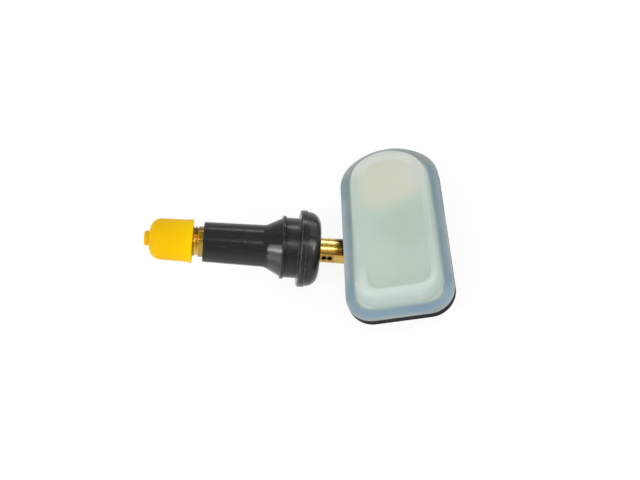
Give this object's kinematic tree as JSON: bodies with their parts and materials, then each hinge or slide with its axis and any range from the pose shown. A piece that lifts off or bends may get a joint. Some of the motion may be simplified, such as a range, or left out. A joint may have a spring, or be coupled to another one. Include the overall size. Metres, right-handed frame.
{
  "type": "tyre pressure sensor",
  "caption": "Snap-in tyre pressure sensor: rubber-covered brass tyre valve with a screw cap, carrying a sealed electronics housing with a milky domed cover.",
  "frame": {"origin": "centre of the grommet's rim seat, on the valve's axis", "axes": "+X from the valve to the housing, +Y to the housing's arched end, +Z out of the cover; the stem rises 16.4 degrees towards its cap and swings 5.9 degrees towards the arched end"},
  "size_m": [0.0749, 0.0453, 0.0244],
  "materials": {
    "cap_yellow": "smooth moulded",
    "seal_rubber": "matt",
    "grommet_rubber": "satin moulded",
    "brass": "turned",
    "housing_black": "moulded",
    "cover_milky": "milky, satin",
    "board_green": "solder mask",
    "cell_case": "nickel plated",
    "steel": "plated",
    "chip_black": "moulded",
    "ferrite": "sintered",
    "copper": "drawn",
    "ceramic": "fired"
  },
  "bodies": {
    "sensor": {"valve_stem": "brass", "rubber_grommet": "grommet_rubber", "core_barrel": "brass", "core_gasket": "seal_rubber", "core_spring": "steel", "housing": "housing_black", "cover": "cover_milky", "circuit_board": "board_green", "battery_cell": "cell_case", "battery_tab_positive": "steel", "battery_tab_negative": "steel", "sensor_chip": "chip_black", "port_seal": "seal_rubber", "crystal": "steel", "lf_coil_core": "ferrite", "lf_coil_winding": "copper", "capacitors": "ceramic", "resistors": "chip_black", "rf_antenna": "copper", "stem_screw": "steel"},
    "core_pin": {"core_pin": "brass", "core_plunger": "seal_rubber"},
    "cap_seal": {"cap_seal": "seal_rubber"},
    "cap": {"valve_cap": "cap_yellow"}
  },
  "joints": [
    {"name": "cap_lift", "type": "slide", "parent": "sensor", "child": "cap_seal", "axis": [-0.9542, 0.0986, 0.2823], "range_m": [0, 0.00953]},
    {"name": "cap_turn", "type": "hinge", "parent": "cap_seal", "child": "cap", "pos_m": [0, 0, 0], "axis": [-0.9542, 0.0986, 0.2823], "range_deg": [0, 4321]},
    {"name": "core_pin_press", "type": "slide", "parent": "sensor", "child": "core_pin", "axis": [0.9542, -0.0986, -0.2823], "range_m": [0, 0.0014], "stiffness_N_per_m": 800, "springref_m": -0.002, "deforming": ["core_spring"]}
  ],
  "couplings": [
    {"joint": "cap_turn", "follows": "cap_lift", "rad_per_m": 7915.8}
  ]
}
